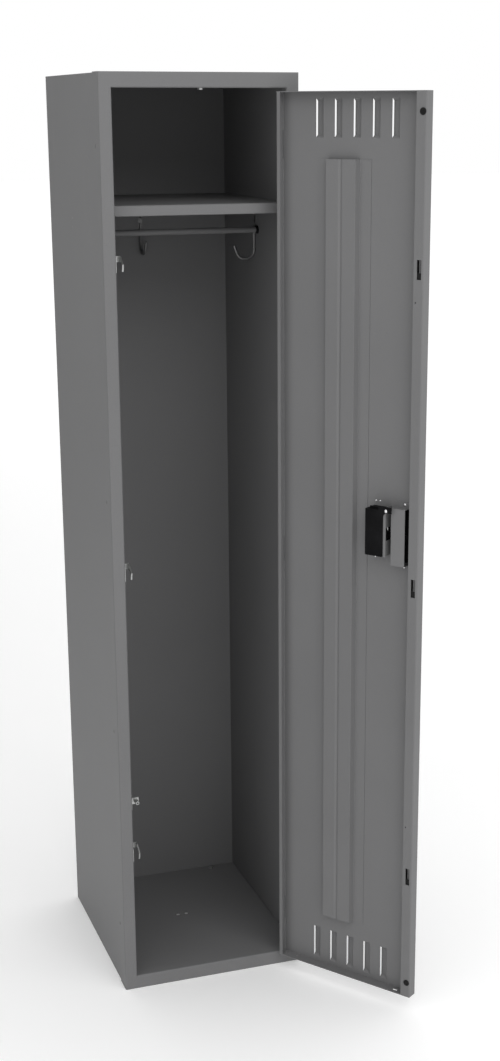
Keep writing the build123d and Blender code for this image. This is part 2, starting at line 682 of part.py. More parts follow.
def door_bumper(z):
    """A rubber bumper pressed into the latch lip."""
    place = (DOOR_EDGE_X - BUMPER_U, DOOR_D, z)
    return dome(6.4, 2.2, place, (0, 1, 0)) + rod(2.5, place, (0, -1, 0), DOOR_T)


def bar_guides():
    """Moulded guides that carry the lock bar inside the door's latch edge."""
    pieces = []
    for z in (180.0, 620.0, 1180.0, 1620.0):
        foot = door_box(304.5, BAR_U1 - 0.2, DOOR_T, 3, z, z + 26)
        block = door_box(304.5, DOOR_W - DOOR_T, 2.7, 7.7, z, z + 26)
        rail = door_box(BAR_U1 + 0.3, DOOR_W - DOOR_T, 7.6, 19, z, z + 26)
        pieces.append(foot + block + rail)
    return pieces


# ---------------------------- moving latch parts ---------------------------

def lift_lever():
    """The lever: a finger ledge and padlock lug in the cup, an arm to the lock bar."""
    v0, v1 = LEVER_V, LEVER_V + LEVER_T
    arm = door_box(244, 286, v0, v1, PIVOT_Z - 5, PIVOT_Z + 5)
    arm += door_box(280, 309, v0, v1, PIVOT_Z - 3.5, PIVOT_Z + 3.5)
    arm += rod(9.0, (DOOR_EDGE_X - PIVOT_U, v0, PIVOT_Z), (0, 1, 0), LEVER_T)
    pull = door_box(216, 245, v0, v1, 974, 991)
    ledge = door_box(216, 240, -1, v1, 972, 975)
    ledge = fillet(ledge.edges().filter_by(Axis.X).sort_by(Axis.Y)[:2], 1.2)
    lug = door_box(236, 238.5, -14, v1, 972, 1002)
    lug = fillet(lug.edges().filter_by(Axis.X).sort_by(Axis.Y)[:2], 5)
    lug -= rod(4.75, (DOOR_EDGE_X - 240, -8, 993), (1, 0, 0), 6)
    lug -= door_box(230, 242, -2, v0, 977, 986)
    lever = arm + pull + ledge + lug
    bore = PIN_CLEARANCE + 3.0
    return lever - rod(bore, (DOOR_EDGE_X - PIVOT_U, 0, PIVOT_Z), (0, 1, 0), 30)


def lock_bar():
    """The channel that slides in the door and catches all three hooks."""
    web_out = BAR_V + BAR_T
    bar = door_box(BAR_U0, BAR_U1, 8.0, web_out, BAR_Z0, BAR_Z1)
    bar -= door_box(BAR_U0 + BAR_T, BAR_U1 - BAR_T, 0, BAR_V, 0, HEIGHT)
    for z in HOOK_ZS.values():
        bar -= door_box(306.3, 318.3, BAR_V - 1, web_out + 1, z - 6, z + 30)
    window = 4.3
    bar -= door_box(BAR_U0 - 1, BAR_U0 + 3, 7, 15, PIVOT_Z - window, PIVOT_Z + window)
    return bar


# ------------------------------ assembly -----------------------------------

cabinet = {
    "frame_stile_left": frame_stile_left(),
    "frame_stile_right": mirrored(frame_stile_left()),
    "frame_rail_top": frame_rail_top(),
    "frame_rail_bottom": frame_rail_bottom(),
    "side_panel_left": side_panel_left(),
    "side_panel_right": mirrored(side_panel_left()),
    "back_panel": back_panel(),
    "top_panel": top_panel(),
    "bottom_panel": bottom_panel(),
    "hat_shelf": hat_shelf(),
    "coat_rod": coat_rod(),
    "rod_end_collars": group(rod_end_collars()),
    "coat_hook_left": on_left_wall(coat_hook()),
    "coat_hook_right": on_right_wall(coat_hook()),
    "coat_hook_back": on_back_wall(coat_hook()),
    "coat_hook_rivets": group(coat_hook_rivets()),
    "door_rest_stud": door_rest_stud(),
    "top_rail_bolt": top_rail_bolt(),
    "floor_bolts": group(floor_bolts()),
    "floor_nuts": group(floor_nuts()),
    "frame_rivets": group(frame_rivets()),
    "back_rivets": group(back_rivets()),
    "shelf_rivets": group(shelf_rivets()),
}
for name, z in HOOK_ZS.items():
    cabinet["latch_hook_" + name] = latch_hook(z)
for name, z in HINGE_ZS.items():
    cabinet["hinge_frame_leaf_" + name] = hinge_frame_leaf(z)
    cabinet["hinge_pin_" + name] = hinge_pin(z)

door = {
    "door_panel": door_panel(),
    "door_stiffener": door_stiffener(),
    "handle_cup": handle_cup(),
    "cup_bracket": cup_bracket(),
    "latch_cover": latch_cover(),
    "lever_guide": lever_guide(),
    "lever_pin": lever_pin(),
    "padlock_eye": padlock_eye(),
    "padlock_eye_rivets": group(padlock_eye_rivets()),
    "handle_rivets": group(handle_rivets()),
    "door_bumper_upper": door_bumper(BUMPER_ZS[0]),
    "door_bumper_lower": door_bumper(BUMPER_ZS[1]),
    "bar_guides": group(bar_guides()),
    "lift_lever": lift_lever(),
    "lock_bar": lock_bar(),
}
for name, z in HINGE_ZS.items():
    door["hinge_door_leaf_" + name] = hinge_door_leaf(z)

to_origin = Pos(0, -DEPTH / 2, 0)
swing = Pos(HINGE_X, HINGE_Y, 0) * Rot(0, 0, OPEN_ANGLE) * Pos(-HINGE_X, -HINGE_Y, 0)

os.makedirs("parts", exist_ok=True)
for name, shape in cabinet.items():
    export_step(to_origin * shape, "parts/" + name + ".step")
for name, shape in door.items():
    export_step(to_origin * swing * shape, "parts/" + name + ".step")
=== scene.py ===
import json
import math

import bmesh
import bpy
from bpy.props import FloatProperty, FloatVectorProperty, PointerProperty
from bpy.types import Operator, Panel, PropertyGroup
from mathutils import Matrix, Vector


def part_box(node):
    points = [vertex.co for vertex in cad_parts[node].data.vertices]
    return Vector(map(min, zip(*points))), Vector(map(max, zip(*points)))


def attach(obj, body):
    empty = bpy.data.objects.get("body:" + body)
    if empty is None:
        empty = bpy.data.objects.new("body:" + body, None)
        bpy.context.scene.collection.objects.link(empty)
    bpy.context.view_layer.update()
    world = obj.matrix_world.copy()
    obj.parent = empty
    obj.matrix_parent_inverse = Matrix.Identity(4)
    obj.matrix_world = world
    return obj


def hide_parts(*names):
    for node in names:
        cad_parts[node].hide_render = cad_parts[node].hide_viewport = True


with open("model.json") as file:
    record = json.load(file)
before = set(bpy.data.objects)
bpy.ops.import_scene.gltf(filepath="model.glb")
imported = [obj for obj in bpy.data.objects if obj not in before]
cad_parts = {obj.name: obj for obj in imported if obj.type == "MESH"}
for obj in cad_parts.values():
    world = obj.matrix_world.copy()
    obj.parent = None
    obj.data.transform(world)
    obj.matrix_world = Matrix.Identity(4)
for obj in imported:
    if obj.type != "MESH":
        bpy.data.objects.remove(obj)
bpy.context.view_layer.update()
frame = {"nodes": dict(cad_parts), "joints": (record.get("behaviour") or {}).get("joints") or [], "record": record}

bl_info = {
    "name": "School locker finish",
    "version": (1, 0, 0),
    "blender": (4, 5, 0),
    "location": "View3D > Sidebar > Locker",
    "description": "Finishes a single-tier steel locker: paint, plating, plastics and studio",
    "category": "Object",
}

MM = 0.001

# Studio: metres and degrees
FLOOR_REACH = 40
FLOOR_GLOW = 0.12  # lifts the floor's white to that of the surroundings
FLAG_CORNERS = ((-1.6, -0.3, -0.01), (-1.6, 6.0, 3.0))
KEY_PLACE, KEY_AIM, KEY_SIZE = (0.35, -3.6, 3.7), (0.0, 0, 0.5), (2.4, 1.8)
CAMERA_PLACE = (-0.9213, -3.2730, 1.7633)
CAMERA_YAW, CAMERA_PITCH, CAMERA_ROLL = -19.797, -15.772, -0.078
CAMERA_SENSOR, CAMERA_LENS = 36.0, 56.67
CAMERA_SHIFT = (-0.0387, 0.0473)

# Fasteners
HEAD_DEPTH = 3.0 * MM
FLANGE_THICK = 0.6 * MM
HEAD_STACK = HEAD_DEPTH + FLANGE_THICK  # from the seat to the top of a head
HEAD_HALF_WIDTH = 5.6 * MM  # from a floor bolt's axis to the end of its node's box
SHANK_RADIUS = 3.0 * MM
SHANK_CHAMFER = 0.3 * MM
SHANK_TIP = 0.4 * MM

# Which of the locker's pieces have which finish
PAINTED = (
    "frame_stile_left", "frame_stile_right", "frame_rail_top", "frame_rail_bottom",
    "side_panel_left", "side_panel_right", "back_panel", "top_panel", "bottom_panel",
    "hat_shelf", "coat_rod", "door_panel", "door_stiffener", "latch_cover", "cup_bracket",
    "frame_rivets", "back_rivets", "shelf_rivets",
    "hinge_frame_leaf_top", "hinge_frame_leaf_middle", "hinge_frame_leaf_bottom",
    "hinge_door_leaf_top", "hinge_door_leaf_middle", "hinge_door_leaf_bottom",
)
ZINC = (
    "latch_hook_upper", "latch_hook_middle", "latch_hook_lower", "door_rest_stud",
    "hinge_pin_top", "hinge_pin_middle", "hinge_pin_bottom", "lever_pin",
    "padlock_eye", "floor_nuts",
)
DULL_ZINC = ("coat_hook_left", "coat_hook_right", "coat_hook_back", "coat_hook_rivets")
BRIGHT = ("handle_rivets", "padlock_eye_rivets")
MOULDED = ("handle_cup", "lever_guide", "lift_lever")


# --------------------------------------------------------------- settings ---

class LockerColours(PropertyGroup):
    """Colours of the locker's finishes, as linear values."""

    paint: FloatVectorProperty(
        name="Powder coat", description="Colour of the painted sheet steel",
        subtype="COLOR", size=3, min=0, max=1, default=(0.168, 0.168, 0.170))
    # Lock bar colour: black enamel, kept this dark partly as painted shade so the slots in the latch lip read dark
    bar_black_and_shade: FloatVectorProperty(
        name="Lock bar", description="Colour of the black enamel on the lock bar",
        subtype="COLOR", size=3, min=0, max=1, default=(0.012, 0.012, 0.012))
    zinc: FloatVectorProperty(
        name="Zinc plating", description="Colour of the plated latch hooks, pins and bolts",
        subtype="COLOR", size=3, min=0, max=1, default=(0.42, 0.425, 0.42))
    dull_zinc: FloatVectorProperty(
        name="Coat hooks", description="Colour of the duller plating on the coat hooks",
        subtype="COLOR", size=3, min=0, max=1, default=(0.24, 0.24, 0.24))
    plastic: FloatVectorProperty(
        name="Handle plastic", description="Colour of the moulded handle parts",
        subtype="COLOR", size=3, min=0, max=1, default=(0.0050, 0.0050, 0.0054))
    rubber: FloatVectorProperty(
        name="Bumper rubber", description="Colour of the rubber bumpers",
        subtype="COLOR", size=3, min=0, max=1, default=(0.0075, 0.0075, 0.0075))
    flag: FloatVectorProperty(
        name="Glare flag", description="Colour of the cloth that shades the left side",
        subtype="COLOR", size=3, min=0, max=1, default=(0.40, 0.40, 0.40))
    floor: FloatVectorProperty(
        name="Studio floor", description="Colour of the floor under the locker",
        subtype="COLOR", size=3, min=0, max=1, default=(0.96, 0.96, 0.96))


class LockerSizes(PropertyGroup):
    """Sizes of the small finishing pieces and of the studio."""

    soft_edge: FloatProperty(
        name="Moulded edge", description="Rounding of the moulded parts' edges",
        default=0.45 * MM, min=0, unit="LENGTH")
    bumper_radius: FloatProperty(
        name="Bumper radius", description="Radius of the rubber bumpers on the latch lip",
        default=6.4 * MM, min=0, unit="LENGTH")
    bumper_rise: FloatProperty(
        name="Bumper height", description="How far the bumpers stand off the latch lip",
        default=2.2 * MM, min=0, unit="LENGTH")
    bolt_flats: FloatProperty(
        name="Bolt head", description="Size across the flats of the hexagon heads",
        default=9.6 * MM, min=0, unit="LENGTH")
    flange_radius: FloatProperty(
        name="Flange radius", description="Radius of the flange under each bolt head",
        default=5.6 * MM, min=0, unit="LENGTH")
    sky: FloatProperty(
        name="Surrounding light", description="Strength of the even white light all round",
        default=1.0, min=0)
    key: FloatProperty(
        name="Key light", description="Power of the large soft light in front",
        default=34.0, min=0, unit="POWER")


def colours():
    return bpy.context.scene.locker_colours


def sizes():
    return bpy.context.scene.locker_sizes


# -------------------------------------------------------------- materials ---

class Value:
    """A number that runs through a material's nodes; arithmetic on it adds Math nodes."""

    def __init__(self, finish, socket):
        self.finish, self.socket = finish, socket

    def _math(self, operation, first, second):
        node = self.finish.node("ShaderNodeMath", {"operation": operation}, {0: first, 1: second})
        return Value(self.finish, node.outputs[0])

    def __add__(self, other):
        return self._math("ADD", self, other)

    def __radd__(self, other):
        return self._math("ADD", other, self)

    def __sub__(self, other):
        return self._math("SUBTRACT", self, other)

    def __rsub__(self, other):
        return self._math("SUBTRACT", other, self)

    def __mul__(self, other):
        return self._math("MULTIPLY", self, other)

    def __rmul__(self, other):
        return self._math("MULTIPLY", other, self)


def socket_of(sockets, name):
    """A node's socket by its number, its label, or its identifier where labels repeat."""
    if isinstance(name, int):
        return sockets[name]
    named = [s for s in sockets if s.identifier == name]
    return named[0] if named else sockets[name]


class Finish:
    """A material being made, and the nodes that vary it over the surface."""

    def __init__(self, name, colour, roughness, metallic=0.0, coat=0.0):
        self.material = bpy.data.materials.new(name)
        self.material.use_nodes = True
        self.tree = self.material.node_tree
        self.shader = self.tree.nodes["Principled BSDF"]
        self.set("Base Color", tuple(colour))
        self.set("Roughness", roughness)
        self.set("Metallic", metallic)
        self.set("Coat Weight", coat)
        self.place = self.node("ShaderNodeTexCoord").outputs["Object"]

    def plug(self, value, socket):
        if isinstance(value, Value):
            value = value.socket
        if isinstance(value, bpy.types.NodeSocket):
            self.tree.links.new(value, socket)
        elif socket.type == "RGBA":
            socket.default_value = (*value[:3], 1.0)
        else:
            socket.default_value = value

    def set(self, name, value):
        self.plug(value, self.shader.inputs[name])

    def node(self, kind, settings=None, inputs=None):
        """Any node, by its type, its settings and the values or links of its sockets."""
        made = self.tree.nodes.new(kind)
        for name, value in (settings or {}).items():
            if name == "stops":
                made.color_ramp.elements[0].position = value[0]
                made.color_ramp.elements[1].position = value[1]
            else:
                setattr(made, name, value)
        for name, value in (inputs or {}).items():
            self.plug(value, socket_of(made.inputs, name))
        return made

    def stretched(self, scale):
        made = self.node("ShaderNodeMapping", None, {"Vector": self.place, "Scale": scale})
        return made.outputs[0]

    def noise(self, per_metre, detail=2.0, roughness=0.5, stretch=None):
        vector = self.stretched(stretch) if stretch else self.place
        made = self.node("ShaderNodeTexNoise", None, {
            "Vector": vector, "Scale": per_metre, "Detail": detail, "Roughness": roughness})
        return Value(self, made.outputs["Fac"])

    def grains(self, per_metre):
        made = self.node("ShaderNodeTexVoronoi", None, {"Vector": self.place, "Scale": per_metre})
        return Value(self, made.outputs["Distance"])

    def ramp(self, value, low, high):
        made = self.node("ShaderNodeValToRGB", {"stops": (low, high)}, {"Fac": value})
        return Value(self, made.outputs["Color"])

    def blend(self, amount, first, second):
        """A colour that goes from first to second with amount; either may be a link."""
        made = self.node("ShaderNodeMix", {"data_type": "RGBA"}, {
            "Factor_Float": amount, "A_Color": first, "B_Color": second})
        return socket_of(made.outputs, "Result_Color")

    def bump(self, height, strength, distance):
        made = self.node("ShaderNodeBump", None, {
            "Strength": strength, "Distance": distance, "Height": height})
        self.set("Normal", made.outputs[0])


def shade_of(colour, factor):
    return tuple(min(1.0, c * factor) for c in colour)


def powder_coat(name, colour):
    """Satin powder coat on sheet steel: orange peel, faint mottling, a little dust and rub."""
    finish = Finish(name, colour, 0.46)
    finish.set("Specular IOR Level", 0.12)
    mottle = finish.noise(2.2, 3.0, 0.55)
    tone = finish.blend(finish.ramp(mottle, 0.35, 0.65), shade_of(colour, 0.965),
                        shade_of(colour, 1.035))
    flecks = finish.noise(820.0, 2.0, 0.6)
    tone = finish.blend(finish.ramp(flecks, 0.60, 0.74) * 0.35, tone, shade_of(colour, 1.30))
    pits = finish.ramp(finish.noise(610.0, 1.0, 0.5), 0.62, 0.76) * 0.30
    tone = finish.blend(pits, tone, shade_of(colour, 0.70))
    rubs = finish.ramp(finish.noise(9.0, 5.0, 0.7, (1.0, 1.0, 0.18)), 0.62, 0.80)
    tone = finish.blend(rubs * 0.10, tone, shade_of(colour, 1.22))
    finish.set("Base Color", tone)
    finish.set("Roughness", 0.40 + mottle * 0.08 + flecks * 0.07 - rubs * 0.05)
    peel = finish.noise(260.0, 2.0, 0.5)
    finish.bump(peel * 0.7 + flecks * 0.3, 0.22, 0.12 * MM)
    return finish.material


def zinc_plate(name, colour, roughness):
    """Zinc on pressed steel: fine crystals, drawn streaks and duller patches."""
    finish = Finish(name, colour, roughness, metallic=0.92)
    crystals = finish.grains(420.0)
    cloud = finish.noise(55.0, 4.0, 0.6)
    tone = finish.blend(finish.ramp(cloud, 0.35, 0.70), shade_of(colour, 0.74),
                        shade_of(colour, 1.08))
    tone = finish.blend(finish.ramp(crystals, 0.25, 0.75) * 0.35, tone, shade_of(colour, 1.2))
    streaks = finish.noise(240.0, 3.0, 0.6, (1.0, 1.0, 0.06))
    finish.set("Base Color", tone)
    finish.set("Roughness", roughness - 0.12 + cloud * 0.16 + streaks * 0.10)
    finish.bump(streaks * 0.6 + crystals * 0.4, 0.20, 0.06 * MM)
    return finish.material


def moulded_black(name, colour):
    """Black moulded plastic: a fine spark-eroded grain and greyer, polished rubs."""
    finish = Finish(name, colour, 0.5)
    finish.set("Specular IOR Level", 0.05)
    grain = finish.noise(1500.0, 2.0, 0.6)
    cloud = finish.noise(34.0, 4.0, 0.6)
    tone = finish.blend(finish.ramp(cloud, 0.40, 0.75), colour, shade_of(colour, 1.9))
    tone = finish.blend(finish.ramp(grain, 0.55, 0.75) * 0.4, tone, shade_of(colour, 2.6))
    finish.set("Base Color", tone)
    finish.set("Roughness", 0.36 + grain * 0.16 + cloud * 0.08)
    finish.bump(grain, 0.30, 0.05 * MM)
    return finish.material


def bumper_rubber(name, colour):
    """Dull black rubber with a dusty bloom and mould pits."""
    finish = Finish(name, colour, 0.8)
    finish.set("Specular IOR Level", 0.20)
    bloom = finish.noise(120.0, 4.0, 0.6)
    pits = finish.grains(900.0)
    tone = finish.blend(finish.ramp(bloom, 0.45, 0.75), colour, shade_of(colour, 2.8))
    finish.set("Base Color", tone)
    finish.set("Roughness", 0.70 + bloom * 0.20)
    finish.bump(pits, 0.25, 0.05 * MM)
    return finish.material


def bright_alloy(name):
    """Polished aluminium rivet heads with fine turning scratches."""
    colour = (0.86, 0.86, 0.87)
    finish = Finish(name, colour, 0.22, metallic=1.0)
    scratches = finish.noise(900.0, 3.0, 0.7, (1.0, 1.0, 0.12))
    haze = finish.noise(160.0, 3.0, 0.5)
    finish.set("Base Color", finish.blend(haze, shade_of(colour, 0.86), colour))
    finish.set("Roughness", 0.16 + scratches * 0.14 + haze * 0.06)
    finish.bump(scratches, 0.12, 0.03 * MM)
    return finish.material


def studio_floor(name, colour):
    """A pale matte floor with a barely visible unevenness."""
    finish = Finish(name, colour, 0.9)
    cloud = finish.noise(1.4, 3.0, 0.5)
    finish.set("Base Color", finish.blend(cloud, shade_of(colour, 0.985), colour))
    finish.set("Roughness", 0.85 + cloud * 0.08)
    finish.set("Emission Color", colour)
    finish.set("Emission Strength", FLOOR_GLOW)
    return finish.material


def flag_cloth(name, colour):
    """Plain grey cloth with a slightly uneven weave."""
    finish = Finish(name, colour, 0.95)
    weave = finish.noise(300.0, 1.0, 0.5)
    finish.set("Base Color", finish.blend(weave, shade_of(colour, 0.95), colour))
    return finish.material


MAKERS = {
    "powder_coat": lambda: powder_coat("powder_coat", colours().paint),
    # the lock bar's finish: black enamel that also serves as painted shade in the latch lip's slots
    "black_bar_and_painted_shade": lambda: powder_coat("black_bar_and_painted_shade", colours().bar_black_and_shade),
    "zinc_plate": lambda: zinc_plate("zinc_plate", colours().zinc, 0.34),
    "dull_zinc": lambda: zinc_plate("dull_zinc", colours().dull_zinc, 0.46),
    "handle_plastic": lambda: moulded_black("handle_plastic", colours().plastic),
    "bumper_rubber": lambda: bumper_rubber("bumper_rubber", colours().rubber),
    "bright_alloy": lambda: bright_alloy("bright_alloy"),
    "flag_cloth": lambda: flag_cloth("flag_cloth", colours().flag),
    "studio_floor": lambda: studio_floor("studio_floor", colours().floor),
}


def finish_named(name):
    """The finish of that name, made the first time it is asked for."""
    return bpy.data.materials.get(name) or MAKERS[name]()


def coat(nodes, finish):
    """Gives the locker's own pieces a finish."""
    material = finish_named(finish)
    for name in nodes:
        piece = frame["nodes"][name]
        for slot in piece.material_slots:
            slot.material = material


# ----------------------------------------------------------------- meshes ---

def body_of_node(node):
    """The rigid body that a node belongs to."""
    bodies = frame["record"]["behaviour"]["bodies"]
    return next(body for body, nodes in bodies.items() if node in nodes)


def add_piece(name, mesh, finish, node):
    """Puts a finished mesh into the scene in place of a node, riding where the node rode."""
    data = bpy.data.meshes.new(name)
    mesh.to_mesh(data)
    mesh.free()
    data.materials.append(finish_named(finish))
    piece = bpy.data.objects.new(name, data)
    bpy.context.scene.collection.objects.link(piece)
    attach(piece, body_of_node(node))
    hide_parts(node)
    return piece


def softened(node, finish, width):
    """A copy of a node with its loose triangles joined and its edges rounded."""
    mesh = bmesh.new()
    mesh.from_mesh(frame["nodes"][node].data)
    bmesh.ops.remove_doubles(mesh, verts=mesh.verts, dist=0.002 * MM)
    bmesh.ops.dissolve_limit(
        mesh, angle_limit=math.radians(1.0), verts=mesh.verts, edges=mesh.edges,
        use_dissolve_boundaries=False)
    piece = add_piece(node + "_moulded", mesh, finish, node)
    rounding = piece.modifiers.new("rounded edges", "BEVEL")
    rounding.width = width
    rounding.segments = 2
    rounding.limit_method = "ANGLE"
    rounding.angle_limit = math.radians(40)
    rounding.use_clamp_overlap = True
    return piece


def turned(profile, axis_point, axis):
    """A round piece: an (radius, height) outline spun once about an axis."""
    mesh = bmesh.new()
    verts = [mesh.verts.new((radius, 0, height)) for radius, height in profile]
    edges = [mesh.edges.new(pair) for pair in zip(verts, verts[1:])]
    bmesh.ops.spin(
        mesh, geom=verts + edges, cent=(0, 0, 0), axis=(0, 0, 1), dvec=(0, 0, 0),
        angle=math.tau, steps=40, use_merge=True, use_duplicate=False)
    bmesh.ops.remove_doubles(mesh, verts=mesh.verts, dist=0.005 * MM)
    bmesh.ops.recalc_face_normals(mesh, faces=mesh.faces)
    stand(mesh, axis_point, axis)
    return mesh


def stand(mesh, point, axis):
    """Turns a mesh made along +Z onto an axis and moves it to its place."""
    turn = Vector((0, 0, 1)).rotation_difference(Vector(axis)).to_matrix().to_4x4()
    bmesh.ops.transform(mesh, matrix=Matrix.Translation(point) @ turn, verts=mesh.verts)


def joined(meshes):
    """Several meshes as one."""
    whole = bmesh.new()
    for mesh in meshes:
        data = bpy.data.meshes.new("part")
        mesh.to_mesh(data)
        mesh.free()
        whole.from_mesh(data)
        bpy.data.meshes.remove(data)
    return whole


def smooth(piece, angle=35):
    """Shades a piece smoothly except across its sharp edges."""
    for face in piece.data.polygons:
        face.use_smooth = True
    limit = math.radians(angle)
    mesh = bmesh.new()
    mesh.from_mesh(piece.data)
    for edge in mesh.edges:
        if len(edge.link_faces) == 2 and edge.calc_face_angle() > limit:
            edge.smooth = False
    mesh.to_mesh(piece.data)
    mesh.free()


def hexagon_bolt(point, axis, flats, flange_radius):
    """A hexagon head with a chamfered crown on a round-edged flange."""
    across = flats / math.sqrt(3) * 2
    head = bmesh.new()
    bmesh.ops.create_cone(
        head, cap_ends=True, segments=6, radius1=across / 2, radius2=across / 2,
        depth=HEAD_DEPTH)
    bmesh.ops.translate(head, verts=head.verts, vec=(0, 0, HEAD_DEPTH / 2 + FLANGE_THICK))
    crown = [e for e in head.edges if all(v.co.z > 3.0 * MM for v in e.verts)]
    bmesh.ops.bevel(
        head, geom=crown, offset=0.7 * MM, segments=2, profile=0.5, affect="EDGES", material=-1)
    upright = [e for e in head.edges if abs(e.verts[0].co.z - e.verts[1].co.z) > 1.5 * MM]
    bmesh.ops.bevel(
        head, geom=upright, offset=0.25 * MM, segments=1, profile=0.5, affect="EDGES",
        material=-1)
    stand(head, point, axis)
    hole = 2.9 * MM
    flange = turned([
        (hole, 0), (flange_radius, 0), (flange_radius, 0.4 * MM),
        (flange_radius - 0.2 * MM, FLANGE_THICK), (hole, FLANGE_THICK), (hole, 0)],
        point, axis)
    return joined([head, flange])


def box_centre(node):
    low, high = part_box(node)
    return (Vector(low) + Vector(high)) / 2


# -------------------------------------------------------------- operators ---

class LOCKER_OT_paint_sheet_steel(Operator):
    """Powder coat the frame, the panels, the shelf, the rod, the door and its hinges"""

    bl_idname = "locker.paint_sheet_steel"
    bl_label = "Paint the sheet steel"

    def execute(self, context):
        coat(PAINTED, "powder_coat")
        # the lock bar's black is partly its enamel and partly painted shade for the slots in the latch lip
        coat(("lock_bar",), "black_bar_and_painted_shade")
        return {"FINISHED"}


class LOCKER_OT_plate_hardware(Operator):
    """Zinc plate the hooks, pins, stud, nuts and padlock eye, and brighten the rivets"""

    bl_idname = "locker.plate_hardware"
    bl_label = "Plate the hardware"

    def execute(self, context):
        coat(ZINC, "zinc_plate")
        coat(DULL_ZINC, "dull_zinc")
        coat(BRIGHT, "bright_alloy")
        return {"FINISHED"}


class LOCKER_OT_mould_plastics(Operator):
    """Round the edges of the handle cup, the lever and its bearings, and give them grain"""

    bl_idname = "locker.mould_plastics"
    bl_label = "Mould the plastics"

    def execute(self, context):
        coat(("bar_guides",), "handle_plastic")
        for node in MOULDED:
            smooth(softened(node, "handle_plastic", sizes().soft_edge))
        return {"FINISHED"}


class LOCKER_OT_turn_bumpers(Operator):
    """Turn the two rubber bumpers on the door's latch lip"""

    bl_idname = "locker.turn_bumpers"
    bl_label = "Turn the rubber bumpers"

    def execute(self, context):
        radius, rise = sizes().bumper_radius, sizes().bumper_rise
        outward = hinge_turn() @ Vector((0, 1, 0))
        for node in ("door_bumper_upper", "door_bumper_lower"):
            lip = bumper_seat(node, outward, rise)
            profile = [
                (0, -1.4 * MM), (2.3 * MM, -1.4 * MM), (2.3 * MM, 0), (radius, 0),
                (radius, 0.35 * rise), (0.93 * radius, 0.68 * rise),
                (0.72 * radius, 0.93 * rise), (0.45 * radius, rise),
                (0.30 * radius, 0.96 * rise), (0.22 * radius, 0.75 * rise),
                (0, 0.72 * rise)]
            piece = add_piece(node + "_rubber", turned(profile, lip, outward),
                              "bumper_rubber", node)
            smooth(piece, 50)
        return {"FINISHED"}


class LOCKER_OT_fit_bolts(Operator):
    """Fit the chamfered hexagon bolts in the floor and the top rail"""

    bl_idname = "locker.fit_bolts"
    bl_label = "Fit the bolts"

    def execute(self, context):
        flats, flange = sizes().bolt_flats, sizes().flange_radius
        low, high = (Vector(c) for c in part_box("floor_bolts"))
        y = (low.y + high.y) / 2
        floor_z = high.z - HEAD_STACK
        places = (low.x + HEAD_HALF_WIDTH, high.x - HEAD_HALF_WIDTH)
        bolts = [
            hexagon_bolt(Vector((x, y, floor_z)), (0, 0, 1), flats, flange) for x in places]
        shanks = [
            turned([(0, low.z), (SHANK_RADIUS - SHANK_CHAMFER, low.z),
                    (SHANK_RADIUS, low.z + SHANK_TIP), (SHANK_RADIUS, floor_z), (0, floor_z)],
                   (x, y, 0), (0, 0, 1))
            for x in places]
        smooth(add_piece("floor_bolt_heads", joined(bolts + shanks), "zinc_plate",
                         "floor_bolts"))
        low, high = (Vector(c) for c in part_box("top_rail_bolt"))
        centre = box_centre("top_rail_bolt")
        seat = Vector((centre.x, centre.y, low.z + HEAD_STACK))
        length = high.z - seat.z
        top = turned([(0, 0), (SHANK_RADIUS, 0), (SHANK_RADIUS, length - SHANK_TIP),
                      (SHANK_RADIUS - SHANK_CHAMFER, length), (0, length)], seat, (0, 0, 1))
        head = hexagon_bolt(seat, (0, 0, -1), flats, flange)
        smooth(add_piece("top_rail_bolt_head", joined([head, top]), "zinc_plate",
                         "top_rail_bolt"))
        return {"FINISHED"}


class LOCKER_OT_fit_rod_collars(Operator):
    """Turn the two collars that carry the coat rod"""

    bl_idname = "locker.fit_rod_collars"
    bl_label = "Fit the rod collars"

    def execute(self, context):
        low, high = (Vector(c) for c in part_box("rod_end_collars"))
        centre = (low + high) / 2
        outer, length = (high.z - low.z) / 2, 5.0 * MM
        bore = 6.05 * MM
        profile = [
            (bore, 0), (outer, 0), (outer, 1.6 * MM), (outer - 0.7 * MM, 2.2 * MM),
            (outer - 0.9 * MM, length - 0.8 * MM), (outer - 1.3 * MM, length),
            (bore, length), (bore, 0)]
        ends = [
            turned(profile, (low.x, centre.y, centre.z), (1, 0, 0)),
            turned(profile, (high.x, centre.y, centre.z), (-1, 0, 0))]
        smooth(add_piece("coat_rod_collars", joined(ends), "handle_plastic",
                         "rod_end_collars"))
        return {"FINISHED"}


class LOCKER_OT_build_stage(Operator):
    """Lay the pale floor, hang the soft lights and place the camera"""

    bl_idname = "locker.build_stage"
    bl_label = "Build the stage"

    def execute(self, context):
        lay_floor()
        hang_flag()
        light_studio()
        place_camera()
        return {"FINISHED"}


def hinge_turn():
    """The turn that opened the door from shut to where it stands."""
    joint = next(j for j in frame["joints"] if j["name"] == "door_hinge")
    return Matrix.Rotation(math.radians(-joint["range_deg"][0]), 3, "Z")


def bumper_seat(node, outward, rise):
    """Where a bumper meets the latch lip, from the highest point of its dome."""
    points = [v.co for v in frame["nodes"][node].data.vertices]
    reach = max(p.dot(outward) for p in points)
    crown = [p for p in points if p.dot(outward) > reach - 0.02 * MM]
    return sum(crown, Vector()) / len(crown) - outward * rise


# ------------------------------------------------------------------ stage ---

def lay_floor():
    mesh = bmesh.new()
    bmesh.ops.create_grid(mesh, x_segments=1, y_segments=1, size=FLOOR_REACH)
    data = bpy.data.meshes.new("studio_floor")
    mesh.to_mesh(data)
    mesh.free()
    data.materials.append(finish_named("studio_floor"))
    floor = bpy.data.objects.new("studio_floor", data)
    bpy.context.scene.collection.objects.link(floor)


